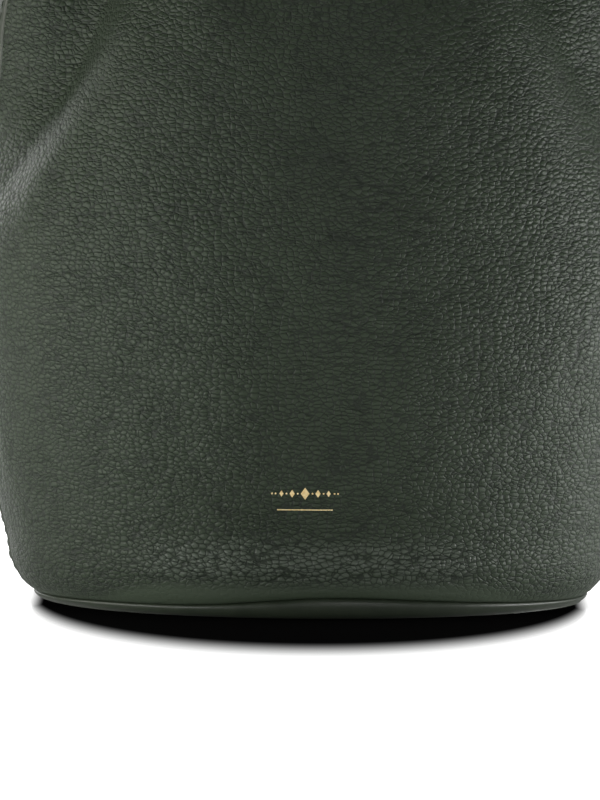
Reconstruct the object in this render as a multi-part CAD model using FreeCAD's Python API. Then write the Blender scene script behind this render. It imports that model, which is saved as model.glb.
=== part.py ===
import FreeCAD, Part
import math
import os

# Soft leather bucket bag, in millimetres, standing on its base.
# X runs from the wearer's left to right, Y from the front (-) to the back (+), Z up.
# The origin is on the floor under the centre of the oval base.

# --- Base -------------------------------------------------------------------------------------
BASE_HALF_WIDTH = 95.0
BASE_HALF_DEPTH = 70.0
BAND_HEIGHT = 8.0
BAND_THICKNESS = 2.0
BASE_PANEL_THICKNESS = 1.8
BASE_BOARD_THICKNESS = 2.5
HEM_ALLOWANCE_DEPTH = 6.0

# --- Body leather: height, half width and half depth of its outer face ---------------------------
BODY_OUTLINE = [
    (8.0, 94.6, 69.6),
    (13.0, 99.0, 73.6),
    (22.0, 104.0, 77.2),
    (36.0, 108.5, 81.0),
    (60.0, 113.5, 84.8),
    (100.0, 118.0, 88.0),
    (150.0, 118.0, 87.5),
    (195.0, 112.5, 82.0),
    (228.0, 102.0, 71.5),
    (250.0, 92.5, 61.5),
    (262.0, 89.0, 58.0),
    (284.0, 88.0, 57.0),
]
LEATHER = 2.0
SEAM_STRIP_WIDTH = 18.0
SEAM_STRIP_THICKNESS = 1.5

# --- Collar around the mouth ------------------------------------------------------------------
COLLAR_LOW = 254.0
COLLAR_TOP = 284.0
COLLAR_THICKNESS = 2.0
STIFFENER_THICKNESS = 0.8
FACING_THICKNESS = 1.2
FACING_LOW = 240.0
MOUTH_BINDING_HEIGHT = 2.6

# --- Lining -----------------------------------------------------------------------------------
LINING_THICKNESS = 0.8
LINING_LOW = 6.0
LINING_TOP = FACING_LOW - 1.0
POCKET_HALF_WIDTH = 52.0
POCKET_LOW = 140.0
POCKET_TOP = 228.0
POCKET_PLANE = 40.0
POCKET_WALL = 1.0
POCKET_SPACE = 7.0
POCKET_BINDING = 8.0
POCKET_BINDING_THICKNESS = 0.8

# --- Handle -----------------------------------------------------------------------------------
PIVOT_HEIGHT = 268.0
HANDLE_WIDTH = 25.0
HANDLE_LEATHER = 2.2
HANDLE_BACKING = 1.4
HANDLE_LEAN = math.radians(10.0)
HANDLE_BEND_HEIGHT = 288.0
HANDLE_BEND_RADIUS = 60.0
HANDLE_TOP_RADIUS = 80.0
PAD_PROUD = 2.0
PAD_HALF_WIDTH = 14.0
PAD_CORNER = 5.0
RIVET_RADIUS = 2.5
RIVET_HEAD_RADIUS = 6.5
RIVET_HEAD_THICKNESS = 1.8
RIVET_HEAD_ROUNDING = 1.2
WASHER_THICKNESS = 1.2
RUNNING_CLEARANCE = 0.05
SIDE_CLEARANCE = 0.4

# --- Closure tab ------------------------------------------------------------------------------
TAB_HALF_WIDTH = 15.0
TAB_LEATHER = 1.8
TAB_LINING = 1.2
TAB_BASE_THICKNESS = 2.0
TAB_LIP_LOW = 257.0
TAB_BEND_RADIUS = 4.0
MAGNET_RADIUS = 7.5
MAGNET_HEIGHT = 271.0
LOWER_MAGNET_THICKNESS = 2.2
UPPER_MAGNET_THICKNESS = 1.8
MAGNET_GAP = 0.3
TAB_CLEARANCE = 0.6

# Layers that lie on each other are drawn this far apart.
LAYER_GAP = 0.06
# Loft sections are no further apart than this, and each offset's loft is made once.
LOFT_STEP = 12.0
LOFTS = {}


def vector(x, y, z):
    return FreeCAD.Vector(x, y, z)


def outline_at(height):
    """Half width and half depth of the body's outer face, eased between the outline's points."""
    points = BODY_OUTLINE
    last = len(points) - 1
    index = 0
    while index < last - 1 and points[index + 1][0] < height:
        index += 1
    before = points[max(index - 1, 0)]
    start = points[index]
    end = points[index + 1]
    after = points[min(index + 2, last)]
    span = end[0] - start[0]
    t = (height - start[0]) / span
    halves = []
    for axis in (1, 2):
        start_slope = (end[axis] - before[axis]) / (end[0] - before[0])
        end_slope = (after[axis] - start[axis]) / (after[0] - start[0])
        value = start[axis] * (2 * t**3 - 3 * t**2 + 1)
        value += start_slope * span * (t**3 - 2 * t**2 + t)
        value += end[axis] * (3 * t**2 - 2 * t**3)
        value += end_slope * span * (t**3 - t**2)
        halves.append(value)
    return halves


def oval_wire(height, half_width, half_depth):
    ellipse = Part.Ellipse(vector(0, 0, height), half_width, half_depth)
    return Part.Wire(ellipse.toShape())


def oval_disc(low, high, half_width, half_depth):
    face = Part.Face(oval_wire(low, half_width, half_depth))
    return face.extrude(vector(0, 0, high - low))


def oval_ring(low, high, outer, inner):
    """An upright oval ring; outer and inner are (half width, half depth)."""
    return oval_disc(low, high, *outer).cut(oval_disc(low, high, *inner))


def whole_loft(offset):
    """Solid inside the body's outer face moved out by offset, from the hem to the mouth."""
    low = BODY_OUTLINE[0][0]
    high = BODY_OUTLINE[-1][0]
    steps = math.ceil((high - low) / LOFT_STEP)
    wires = []
    for step in range(steps + 1):
        height = low + (high - low) * step / steps
        half_width, half_depth = outline_at(height)
        wires.append(oval_wire(height, half_width + offset, half_depth + offset))
    return Part.makeLoft(wires, True, False)


def body_loft(low, high, offset):
    """The same solid cut off level at two heights, so that neighbouring layers stay parallel."""
    if offset not in LOFTS:
        LOFTS[offset] = whole_loft(offset)
    return LOFTS[offset].common(box((-200, -200, low), (200, 200, high)))


def body_shell(low, high, inner_offset, outer_offset):
    """Layer of the wall between two offsets from the body's outer face."""
    return body_loft(low, high, outer_offset).cut(body_loft(low, high, inner_offset))


def box(low, high):
    size = [high[axis] - low[axis] for axis in range(3)]
    return Part.makeBox(size[0], size[1], size[2], vector(*low))


def half_space(side):
    """Big box in front of (-1) or behind (+1) the side seams."""
    reach = 200.0
    if side < 0:
        return box((-reach, -reach, -1), (reach, -LAYER_GAP / 2, 300))
    return box((-reach, LAYER_GAP / 2, -1), (reach, reach, 300))


def save(shape, node):
    solids = shape.Solids
    if not solids or not all(solid.isValid() for solid in solids):
        raise ValueError(node + " is not a valid solid")
    shape.exportStep("parts/" + node + ".step")


# --- Base parts -------------------------------------------------------------------------------
def make_base():
    inner = (BASE_HALF_WIDTH - BAND_THICKNESS, BASE_HALF_DEPTH - BAND_THICKNESS)
    binding = oval_ring(0, BAND_HEIGHT, (BASE_HALF_WIDTH, BASE_HALF_DEPTH), inner)
    save(binding, "base_binding")
    panel_size = [half - LAYER_GAP for half in inner]
    save(oval_disc(0, BASE_PANEL_THICKNESS, *panel_size), "base_panel")
    board_low = BASE_PANEL_THICKNESS + LAYER_GAP
    board_size = [half - 2 * LAYER_GAP - LEATHER for half in inner]
    save(oval_disc(board_low, board_low + BASE_BOARD_THICKNESS, *board_size), "base_board")
    floor_low = board_low + BASE_BOARD_THICKNESS + LAYER_GAP
    save(oval_disc(floor_low, floor_low + LINING_THICKNESS, *board_size), "lining_floor")


# --- Wall parts -------------------------------------------------------------------------------
def hem_allowance():
    """Lower edge of the body leather, turned in and held inside the base binding."""
    outer = [
        BASE_HALF_WIDTH - BAND_THICKNESS - LAYER_GAP,
        BASE_HALF_DEPTH - BAND_THICKNESS - LAYER_GAP,
    ]
    inner = [half - LEATHER for half in outer]
    low = BAND_HEIGHT - HEM_ALLOWANCE_DEPTH
    upright = oval_ring(low, BAND_HEIGHT + LEATHER, outer, inner)
    ledge_outer = [half - 0.1 for half in outline_at(BAND_HEIGHT)]
    ledge = oval_ring(BAND_HEIGHT + LAYER_GAP, BAND_HEIGHT + LEATHER, ledge_outer, inner)
    return upright.fuse(ledge)


def make_walls(rivet_holes):
    wall_low = BAND_HEIGHT + LAYER_GAP
    wall = body_shell(wall_low, COLLAR_TOP, -LEATHER, 0)
    wall = wall.fuse(hem_allowance()).removeSplitter()
    wall = wall.cut(rivet_holes)
    save(wall.common(half_space(-1)), "front_panel")
    save(wall.common(half_space(1)), "back_panel")

    strip_low = wall_low + 1.0
    strip_high = COLLAR_LOW - LAYER_GAP
    strips = body_shell(strip_low, strip_high, LAYER_GAP, SEAM_STRIP_THICKNESS)
    half = SEAM_STRIP_WIDTH / 2
    save(strips.common(box((-200, -half, 0), (0, half, 300))), "side_seam_left")
    save(strips.common(box((0, -half, 0), (200, half, 300))), "side_seam_right")


def make_collar(rivet_holes):
    collar = body_shell(COLLAR_LOW, COLLAR_TOP, LAYER_GAP, COLLAR_THICKNESS)
    save(collar.cut(rivet_holes), "top_collar")

    stiffener_outer = -LEATHER - LAYER_GAP
    stiffener_inner = stiffener_outer - STIFFENER_THICKNESS
    stiffener = body_shell(COLLAR_LOW, COLLAR_TOP, stiffener_inner, stiffener_outer)
    save(stiffener.cut(rivet_holes), "collar_stiffener")

    facing_outer = stiffener_inner - LAYER_GAP
    facing_inner = facing_outer - FACING_THICKNESS
    facing = body_shell(FACING_LOW, COLLAR_TOP, facing_inner, facing_outer)
    save(facing.cut(rivet_holes), "collar_facing")

    rim_low = COLLAR_TOP + LAYER_GAP
    rim_halves = outline_at(COLLAR_TOP)
    rim_outer = [half + COLLAR_THICKNESS + 0.2 for half in rim_halves]
    rim_inner = [half + facing_inner - 0.2 for half in rim_halves]
    rim = oval_ring(rim_low, rim_low + MOUTH_BINDING_HEIGHT, rim_outer, rim_inner)
    rounded = [edge for edge in rim.Edges if edge.CenterOfMass.z > rim_low + 1]
    rounded = [edge for edge in rounded if abs(edge.BoundBox.ZLength) < 0.01]
    save(rim.makeFillet(0.9, rounded), "mouth_binding")
    return facing_inner


def make_lining():
    outer = -LEATHER - LAYER_GAP
    inner = outer - LINING_THICKNESS
    lining_low = BAND_HEIGHT + LEATHER + LAYER_GAP
    save(body_shell(lining_low, LINING_TOP, inner, outer), "lining_wall")
    return inner


def make_pocket(lining_inner):
    """Open-topped slip pocket on a flat divider whose edges are sewn to the lining."""
    inside = body_loft(BAND_HEIGHT + LEATHER + LAYER_GAP, LINING_TOP, lining_inner - LAYER_GAP)
    divider_front = POCKET_PLANE + POCKET_WALL + POCKET_SPACE + LAYER_GAP
    divider = box(
        (-200, divider_front, POCKET_LOW),
        (200, divider_front + POCKET_WALL, LINING_TOP),
    )
    save(divider.common(inside), "pocket_divider")

    half = POCKET_HALF_WIDTH
    front = POCKET_PLANE
    pocket = box((-half, front, POCKET_LOW), (half, divider_front - LAYER_GAP, POCKET_TOP))
    space = box(
        (-half + POCKET_WALL, front + POCKET_WALL, POCKET_LOW + POCKET_WALL),
        (half - POCKET_WALL, divider_front, POCKET_TOP + 1),
    )
    save(pocket.cut(space), "slip_pocket")
    edge = box(
        (-half, front - POCKET_BINDING_THICKNESS - LAYER_GAP, POCKET_TOP - POCKET_BINDING),
        (half, front - LAYER_GAP, POCKET_TOP),
    )
    save(edge, "pocket_binding")


# --- Handle -----------------------------------------------------------------------------------
def leg_position():
    """X of the pad's outer face and of the strap's inner face on the right-hand side."""
    collar_half = outline_at(PIVOT_HEIGHT)[0] + COLLAR_THICKNESS
    pad_face = collar_half + PAD_PROUD
    return pad_face, pad_face + SIDE_CLEARANCE


def handle_side(offset, leg_x):
    """Points and arcs of the strap's right half in the XZ plane, from its low end to its top."""
    lean = HANDLE_LEAN
    bend_centre = (leg_x - HANDLE_BEND_RADIUS, HANDLE_BEND_HEIGHT)
    bend_end_x = bend_centre[0] + HANDLE_BEND_RADIUS * math.cos(lean)
    bend_end_z = bend_centre[1] + HANDLE_BEND_RADIUS * math.sin(lean)
    straight = (bend_end_x - HANDLE_TOP_RADIUS * math.cos(lean)) / math.sin(lean)
    top_centre_z = bend_end_z + straight * math.cos(lean) - HANDLE_TOP_RADIUS * math.sin(lean)
    bend = HANDLE_BEND_RADIUS + offset
    top = HANDLE_TOP_RADIUS + offset

    def on_bend(angle):
        return vector(bend_centre[0] + bend * math.cos(angle), 0, bend_centre[1] + bend * math.sin(angle))

    def on_top(angle):
        return vector(top * math.cos(angle), 0, top_centre_z + top * math.sin(angle))

    low_end = vector(leg_x + offset, 0, PIVOT_HEIGHT - HANDLE_WIDTH / 2)
    middle = (lean + math.pi / 2) / 2
    return [
        Part.LineSegment(low_end, on_bend(0)),
        Part.Arc(on_bend(0), on_bend(lean / 2), on_bend(lean)),
        Part.LineSegment(on_bend(lean), on_top(lean)),
        Part.Arc(on_top(lean), on_top(middle), on_top(math.pi / 2)),
    ]


def handle_layer(inner, outer, leg_x):
    """One layer of the strap, between two offsets from the strap's inner face."""
    outside = [curve.toShape() for curve in handle_side(outer, leg_x)]
    inside = [curve.toShape() for curve in handle_side(inner, leg_x)]
    low = PIVOT_HEIGHT - HANDLE_WIDTH / 2
    end = Part.LineSegment(vector(leg_x + inner, 0, low), vector(leg_x + outer, 0, low)).toShape()
    right = outside + inside + [end]
    top_inner = inside[-1].Vertexes[-1].Point
    top_outer = outside[-1].Vertexes[-1].Point
    join = Part.LineSegment(top_inner, top_outer).toShape()
    half_wire = Part.Wire(Part.__sortEdges__(right + [join]))
    half_strap = Part.Face(half_wire).extrude(vector(0, HANDLE_WIDTH, 0))
    half_strap.translate(vector(0, -HANDLE_WIDTH / 2, 0))
    strap = half_strap.fuse(half_strap.mirror(vector(0, 0, 0), vector(1, 0, 0)))
    ends = Part.makeCylinder(HANDLE_WIDTH / 2, 260, vector(-130, 0, PIVOT_HEIGHT), vector(1, 0, 0))
    upper = box((-130, -HANDLE_WIDTH, PIVOT_HEIGHT), (130, HANDLE_WIDTH, 600))
    return strap.removeSplitter().common(ends.fuse(upper)).removeSplitter()


def pivot_bar(radius, low_x, high_x, side=1):
    """Round bar along the handle's pivot axis on one side of the bag."""
    start = low_x if side > 0 else -high_x
    return Part.makeCylinder(radius, high_x - low_x, vector(start, 0, PIVOT_HEIGHT), vector(1, 0, 0))


def make_handle():
    leg_x = leg_position()[1]
    holes = pivot_bar(RIVET_RADIUS + RUNNING_CLEARANCE, 60, 140)
    holes = holes.fuse(pivot_bar(RIVET_RADIUS + RUNNING_CLEARANCE, 60, 140, -1))
    backing = handle_layer(0, HANDLE_BACKING, leg_x)
    save(backing.cut(holes), "handle_backing")
    strap = handle_layer(
        HANDLE_BACKING + LAYER_GAP, HANDLE_BACKING + LAYER_GAP + HANDLE_LEATHER, leg_x
    )
    save(strap.cut(holes), "handle_strap")


def make_handle_anchor(side, name, facing_inner):
    """Pad, rivet and inner washer that carry one end of the handle."""
    pad_face, leg_x = leg_position()
    collar_outer = body_loft(COLLAR_LOW, COLLAR_TOP, COLLAR_THICKNESS + LAYER_GAP)
    half = PAD_HALF_WIDTH
    pad = box((60, -half, COLLAR_LOW), (pad_face, half, COLLAR_TOP)).cut(collar_outer)
    pad = pad.cut(pivot_bar(RIVET_RADIUS + LAYER_GAP, 60, 140))
    uprights = [e for e in pad.Edges if abs(e.BoundBox.XLength) > 3 and e.BoundBox.YLength < 0.01]
    uprights = [e for e in uprights if e.BoundBox.ZLength < 0.01]
    pad = pad.makeFillet(PAD_CORNER, uprights)

    strap_outer = leg_x + HANDLE_BACKING + LAYER_GAP + HANDLE_LEATHER
    head_low = strap_outer + SIDE_CLEARANCE
    inner_face = outline_at(PIVOT_HEIGHT)[0] + facing_inner
    post = pivot_bar(RIVET_RADIUS, inner_face - 1.6, head_low + 0.2)
    head = pivot_bar(RIVET_HEAD_RADIUS, head_low, head_low + RIVET_HEAD_THICKNESS)
    rim = [e for e in head.Edges if e.BoundBox.XMin > head_low + RIVET_HEAD_THICKNESS - 0.01]
    rivet = post.fuse(head.makeFillet(RIVET_HEAD_ROUNDING, rim))

    washer_low = inner_face - WASHER_THICKNESS
    washer = pivot_bar(RIVET_HEAD_RADIUS, washer_low, inner_face - LAYER_GAP)
    washer = washer.cut(body_loft_band(facing_inner))
    washer = washer.cut(pivot_bar(RIVET_RADIUS + LAYER_GAP / 2, 60, 140))
    shapes = {"handle_pad_": pad, "handle_rivet_": rivet, "rivet_washer_": washer}
    for prefix, shape in shapes.items():
        if side < 0:
            shape = shape.mirror(vector(0, 0, 0), vector(1, 0, 0))
        save(shape, prefix + name)


def body_loft_band(facing_inner):
    """Thick band of everything outside the facing's inner face, near the pivot."""
    outside = oval_disc(FACING_LOW, COLLAR_TOP, 130, 100)
    return outside.cut(body_loft(FACING_LOW, COLLAR_TOP, facing_inner - LAYER_GAP))


# --- Closure tab ------------------------------------------------------------------------------
def tab_layout():
    """Places in the YZ plane that the tab's parts share."""
    half_depth = outline_at(MAGNET_HEIGHT)[1] + COLLAR_THICKNESS
    rim_top = COLLAR_TOP + LAYER_GAP + MOUTH_BINDING_HEIGHT
    lip_inner = -(half_depth + LOWER_MAGNET_THICKNESS + MAGNET_GAP + UPPER_MAGNET_THICKNESS)
    return {
        "collar_outer": half_depth,
        "under": rim_top + TAB_CLEARANCE,
        "lip_inner": lip_inner,
        "hinge_y": half_depth + TAB_BASE_THICKNESS,
        "hinge_z": rim_top + TAB_CLEARANCE + 0.6,
    }


def tab_layer(inner, outer, layout):
    """One layer of the tab: level across the mouth, then turned down in front of the collar."""
    back = layout["hinge_y"] - 1.0
    under = layout["under"]
    lip = layout["lip_inner"]
    bend_y = lip + TAB_BEND_RADIUS
    bend_z = under - TAB_BEND_RADIUS
    diagonal = math.sqrt(0.5)

    def bend_point(offset):
        reach = (TAB_BEND_RADIUS + offset) * diagonal
        return vector(0, bend_y - reach, bend_z + reach)

    curves = [
        Part.LineSegment(vector(0, back, under + inner), vector(0, back, under + outer)),
        Part.LineSegment(vector(0, back, under + outer), vector(0, bend_y, under + outer)),
        Part.Arc(vector(0, bend_y, under + outer), bend_point(outer), vector(0, lip - outer, bend_z)),
        Part.LineSegment(vector(0, lip - outer, bend_z), vector(0, lip - outer, TAB_LIP_LOW)),
        Part.LineSegment(vector(0, lip - outer, TAB_LIP_LOW), vector(0, lip - inner, TAB_LIP_LOW)),
        Part.LineSegment(vector(0, lip - inner, TAB_LIP_LOW), vector(0, lip - inner, bend_z)),
        Part.Arc(vector(0, lip - inner, bend_z), bend_point(inner), vector(0, bend_y, under + inner)),
        Part.LineSegment(vector(0, bend_y, under + inner), vector(0, back, under + inner)),
    ]
    face = Part.Face(Part.Wire([curve.toShape() for curve in curves]))
    layer = face.extrude(vector(2 * TAB_HALF_WIDTH, 0, 0))
    layer.translate(vector(-TAB_HALF_WIDTH, 0, 0))
    tip_height = TAB_LIP_LOW + TAB_HALF_WIDTH
    tip = Part.makeCylinder(TAB_HALF_WIDTH, 250, vector(0, -125, tip_height), vector(0, 1, 0))
    upper = box((-TAB_HALF_WIDTH, -125, tip_height), (TAB_HALF_WIDTH, 125, 400))
    return layer.common(tip.fuse(upper)).removeSplitter()


def front_disc(radius, low_y, high_y):
    """Round disc facing the front at the magnet's height."""
    return Part.makeCylinder(radius, high_y - low_y, vector(0, low_y, MAGNET_HEIGHT), vector(0, 1, 0))


def make_closure():
    layout = tab_layout()
    lip = layout["lip_inner"]
    save(tab_layer(0, TAB_LINING, layout), "tab_lining")
    outer_low = TAB_LINING + LAYER_GAP
    save(tab_layer(outer_low, outer_low + TAB_LEATHER, layout), "closure_tab")
    upper_back = lip + LAYER_GAP
    upper = front_disc(MAGNET_RADIUS, upper_back, lip + UPPER_MAGNET_THICKNESS)
    save(upper, "magnet_upper")
    lower_front = lip + UPPER_MAGNET_THICKNESS + MAGNET_GAP
    lower = front_disc(MAGNET_RADIUS, lower_front, 0)
    lower = lower.cut(body_loft(COLLAR_LOW, COLLAR_TOP, COLLAR_THICKNESS + LAYER_GAP))
    save(lower, "magnet_lower")

    base_front = layout["collar_outer"] - 4.0
    base = box(
        (-TAB_HALF_WIDTH, base_front, COLLAR_LOW),
        (TAB_HALF_WIDTH, layout["hinge_y"], COLLAR_TOP),
    )
    base = base.cut(body_loft(COLLAR_LOW, COLLAR_TOP, COLLAR_THICKNESS + LAYER_GAP))
    save(base, "tab_base")
    return layout


def main():
    os.makedirs("parts", exist_ok=True)
    holes = pivot_bar(RIVET_RADIUS + LAYER_GAP, 60, 140)
    holes = holes.fuse(pivot_bar(RIVET_RADIUS + LAYER_GAP, 60, 140, -1))
    make_base()
    make_walls(holes)
    facing_inner = make_collar(holes)
    make_pocket(make_lining())
    make_handle()
    make_handle_anchor(1, "right", facing_inner)
    make_handle_anchor(-1, "left", facing_inner)
    layout = make_closure()
    print("tab hinge at y", round(layout["hinge_y"], 3), "z", round(layout["hinge_z"], 3))


main()
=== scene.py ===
import math

import bpy
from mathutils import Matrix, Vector, noise


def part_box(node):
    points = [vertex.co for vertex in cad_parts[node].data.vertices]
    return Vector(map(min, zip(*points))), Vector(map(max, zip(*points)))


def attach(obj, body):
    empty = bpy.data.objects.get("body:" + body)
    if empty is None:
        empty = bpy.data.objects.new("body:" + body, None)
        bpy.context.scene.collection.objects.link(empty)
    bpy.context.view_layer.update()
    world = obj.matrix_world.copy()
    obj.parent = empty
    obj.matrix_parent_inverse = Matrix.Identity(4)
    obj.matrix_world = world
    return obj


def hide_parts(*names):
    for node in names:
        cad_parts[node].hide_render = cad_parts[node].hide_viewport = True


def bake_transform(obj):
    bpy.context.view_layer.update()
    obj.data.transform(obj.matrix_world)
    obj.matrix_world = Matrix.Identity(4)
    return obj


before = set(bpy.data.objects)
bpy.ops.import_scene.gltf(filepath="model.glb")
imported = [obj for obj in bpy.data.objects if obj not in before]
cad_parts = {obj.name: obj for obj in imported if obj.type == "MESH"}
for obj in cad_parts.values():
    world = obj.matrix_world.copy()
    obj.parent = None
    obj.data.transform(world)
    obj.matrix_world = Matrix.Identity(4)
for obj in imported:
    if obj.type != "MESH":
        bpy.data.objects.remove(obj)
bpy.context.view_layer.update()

MM = 0.001

# --- Sizes of the soft body, in millimetres like the design, worked into metres by MM ------------
# Height, half width and half depth of the leather's outer face before any folds.
BODY_OUTLINE = [
    (3.0, 95.3, 70.3),
    (6.5, 98.6, 73.0),
    (10.5, 101.9, 75.6),
    (15.5, 103.8, 77.2),
    (22.0, 105.2, 78.6),
    (36.0, 108.7, 81.2),
    (60.0, 113.5, 84.8),
    (100.0, 118.0, 88.0),
    (150.0, 118.0, 87.5),
    (195.0, 112.5, 82.0),
    (228.0, 102.0, 71.5),
    (250.0, 92.5, 61.5),
    (262.0, 89.0, 58.0),
    (284.0, 88.0, 57.0),
]
HEM_LEVEL = BODY_OUTLINE[0][0]
LEFT = math.pi
RIGHT = 0.0
BASE_HALF = (95.0, 70.0)
FOOT_TOP = 30.0


def box_mm(node):
    """Lowest and highest corner of a CAD node, in millimetres."""
    low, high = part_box(node)
    return [value / MM for value in low], [value / MM for value in high]


COLLAR_LOW, COLLAR_HIGH = box_mm("top_collar")


def outline_at(height):
    """Half width and half depth of the plain outline at a height, eased between its points."""
    points = BODY_OUTLINE
    last = len(points) - 1
    index = 0
    while index < last - 1 and points[index + 1][0] < height:
        index += 1
    before = points[max(index - 1, 0)]
    start = points[index]
    end = points[index + 1]
    after = points[min(index + 2, last)]
    span = end[0] - start[0]
    t = min(1.0, max(0.0, (height - start[0]) / span))
    halves = []
    for axis in (1, 2):
        start_slope = (end[axis] - before[axis]) / (end[0] - before[0])
        end_slope = (after[axis] - start[axis]) / (after[0] - start[0])
        value = start[axis] * (2 * t**3 - 3 * t**2 + 1)
        value += start_slope * span * (t**3 - 2 * t**2 + t)
        value += end[axis] * (3 * t**2 - 2 * t**3)
        value += end_slope * span * (t**3 - t**2)
        halves.append(value)
    return halves


def oval_place(angle, half_width, half_depth, height):
    """Point on an oval, in millimetres, and the outward direction there."""
    cosine = math.cos(angle)
    sine = math.sin(angle)
    out = Vector((cosine / half_width, sine / half_depth, 0)).normalized()
    return Vector((half_width * cosine, half_depth * sine, height)), out


def smooth(low, high, value):
    """0 below low, 1 above high and an eased step between."""
    t = min(1.0, max(0.0, (value - low) / (high - low)))
    return t * t * (3 - 2 * t)


def hump(centre, half_width, value):
    """1 at the centre, falling off as a bell."""
    return math.exp(-(((value - centre) / half_width) ** 2))


def turned(angle, from_angle):
    """Signed angle from one direction to another, between -pi and pi."""
    return (angle - from_angle + math.pi) % (2 * math.pi) - math.pi


# --- How the leather slouches -------------------------------------------------------------------
# Lobes: a soft wing hangs out at each side, parted from the front by a slanting valley. The shares
# are of the lobe's size; the angles are counted from the side towards the front.
LEFT_LOBE = 17.0
RIGHT_LOBE = 11.0
LOBE_OUT_SHARE = 0.30
LOBE_FRONT_SHARE = 0.42
VALLEY_SHARE = 1.25
VALLEY_ANGLE = math.radians(15.5)
VALLEY_HEIGHT = 134
VALLEY_SLANT = math.radians(20)
VALLEY_SLANT_RUN = 70
VALLEY_FRONT_SIDE = math.radians(16)
VALLEY_BACK_SIDE = math.radians(32)
WING_REACH = math.radians(34)
# Gathers under the collar: how many, where they start, how deep, and how far they sink on the whole.
PLEATS = 13
PLEAT_START = 188.0
PLEAT_DEPTH = 3.6
PLEAT_SINK = 1.0


def side_lobe(angle, height, side, size):
    """Soft wing that hangs out at one side, facing the front, beyond a slanting valley.

    Returns how far the leather moves outwards and how far it moves towards the front."""
    from_side = turned(angle, LEFT if side < 0 else RIGHT)
    forward = from_side if side < 0 else -from_side
    valley_angle = VALLEY_ANGLE + VALLEY_SLANT * (height - VALLEY_HEIGHT) / VALLEY_SLANT_RUN
    level = smooth(112, 194, height) * (1 - smooth(207, 238, height))
    past = forward - valley_angle
    valley = hump(0, VALLEY_FRONT_SIDE if past > 0 else VALLEY_BACK_SIDE, past)
    swing = min(1.0, max(0.0, -past / WING_REACH))
    wing = swing * smooth(math.radians(-24), math.radians(12), forward)
    side_wing = swing * smooth(math.radians(-60), math.radians(-5), forward)
    out = size * level * (LOBE_OUT_SHARE * side_wing - VALLEY_SHARE * valley)
    return out, LOBE_FRONT_SHARE * size * level * wing


def pleats(angle, height):
    """Narrow folds that open out and fade downwards; near the facing they sink less."""
    level = smooth(PLEAT_START, 244, height)
    pinch = 1 - 0.75 * smooth(248, 258, height)
    sway = 0.22 * math.sin(3 * angle + 0.7) + 0.15 * math.sin(5 * angle + 2.1)
    wave = math.cos(PLEATS * angle + 3.0 * sway + 0.012 * (height - 230) * math.sin(2 * angle))
    uneven = 0.72 + 0.28 * math.sin(4 * angle + 1.3)
    fold = level * pinch * uneven * (PLEAT_DEPTH * wave - PLEAT_SINK)
    return fold if fold > 0 else fold * (1 - 0.7 * smooth(222, 240, height))


def front_middle(angle):
    """1 on the middle of the front, 0 at the sides and on the back."""
    return smooth(0.30, 0.85, -math.sin(angle)) * hump(6, 74, 100 * math.cos(angle))


def foot_roll(angle, level):
    """At the front the leather drops straight to the seam, over a low soft roll."""
    straight = 4.2 * (1 - smooth(3, 13, level)) - 2.6 * hump(31, 14, level)
    roll = 1.3 * hump(16, 4.5, level)
    left = hump(0, math.radians(30), turned(angle, LEFT))
    full = 1.7 * hump(5.4, 3.6, level) + 0.5 * hump(13.5, 3.5, level)
    return (straight + roll) * front_middle(angle) + left * full


def drift(angle, height, size, cell, seed):
    """Slow unevenness, made in space so that it closes round the bag."""
    place, _ = oval_place(angle, *outline_at(height), height)
    return size * noise.noise(place / cell + Vector((seed, 2.7 * seed, -seed)))


def slouch(angle, height):
    """How far the leather moves out from the plain outline, and to the front, in millimetres."""
    left_out, left_front = side_lobe(angle, height, -1, LEFT_LOBE)
    right_out, right_front = side_lobe(angle, height, 1, RIGHT_LOBE)
    away = left_out + right_out + pleats(angle, height) + foot_roll(angle, height)
    loose = smooth(14, 60, height) * (1 - smooth(216, 240, height))
    away += loose * drift(angle, height, 3.0, 74.0, 3.1)
    away += loose * drift(angle, height, 1.1, 31.0, 8.4)
    away += 0.22 * smooth(12, 20, height) * drift(angle, height, 1.0, 9.0, 5.2)
    return away, left_front + right_front


def hem_height(angle):
    """Height of the seam above the base band: highest in the middle of the front."""
    x = BASE_HALF[0] * math.cos(angle)
    front = smooth(0.1, 0.6, -math.sin(angle))
    middle = hump(6, 46 if x > 6 else 36, x)
    return 3.4 + 4.7 * middle * front + 0.35 * math.sin(5 * angle)


def body_point(angle, level, offset=0.0):
    """Point of the slouched leather, in metres; below FOOT_TOP the levels are fitted to the seam."""
    height = level
    if level < FOOT_TOP:
        share = (level - HEM_LEVEL) / (FOOT_TOP - HEM_LEVEL)
        seam = hem_height(angle)
        height = seam + (FOOT_TOP - seam) * share
    point, out = oval_place(angle, *outline_at(level), height)
    away, front = slouch(angle, level)
    return (point + out * (away + offset) + Vector((0, -front, 0))) * MM


def body_frame(angle, level, offset=0.0):
    """Place, upward direction along the leather and outward normal, the place in millimetres."""
    place = body_point(angle, level, offset)
    along = (body_point(angle, level + 1, offset) - body_point(angle, level - 1, offset)).normalized()
    around = body_point(angle + 0.01, level, offset) - body_point(angle - 0.01, level, offset)
    return place / MM, along, around.cross(along).normalized()


def front_point(x, height, offset):
    """Point on the front of the leather at a given x, in metres."""
    return body_point(-math.acos(x / outline_at(height)[0]), height, offset)


# --- Mesh helpers -------------------------------------------------------------------------------
def new_piece(name, points, faces, material, body, smooth_faces=True):
    mesh = bpy.data.meshes.new(name)
    mesh.from_pydata([tuple(point) for point in points], [], faces)
    mesh.validate()
    mesh.update()
    piece = bpy.data.objects.new(name, mesh)
    bpy.context.scene.collection.objects.link(piece)
    mesh.materials.append(material)
    for polygon in mesh.polygons:
        polygon.use_smooth = smooth_faces
    if body:
        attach(piece, body)
    return piece


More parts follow.
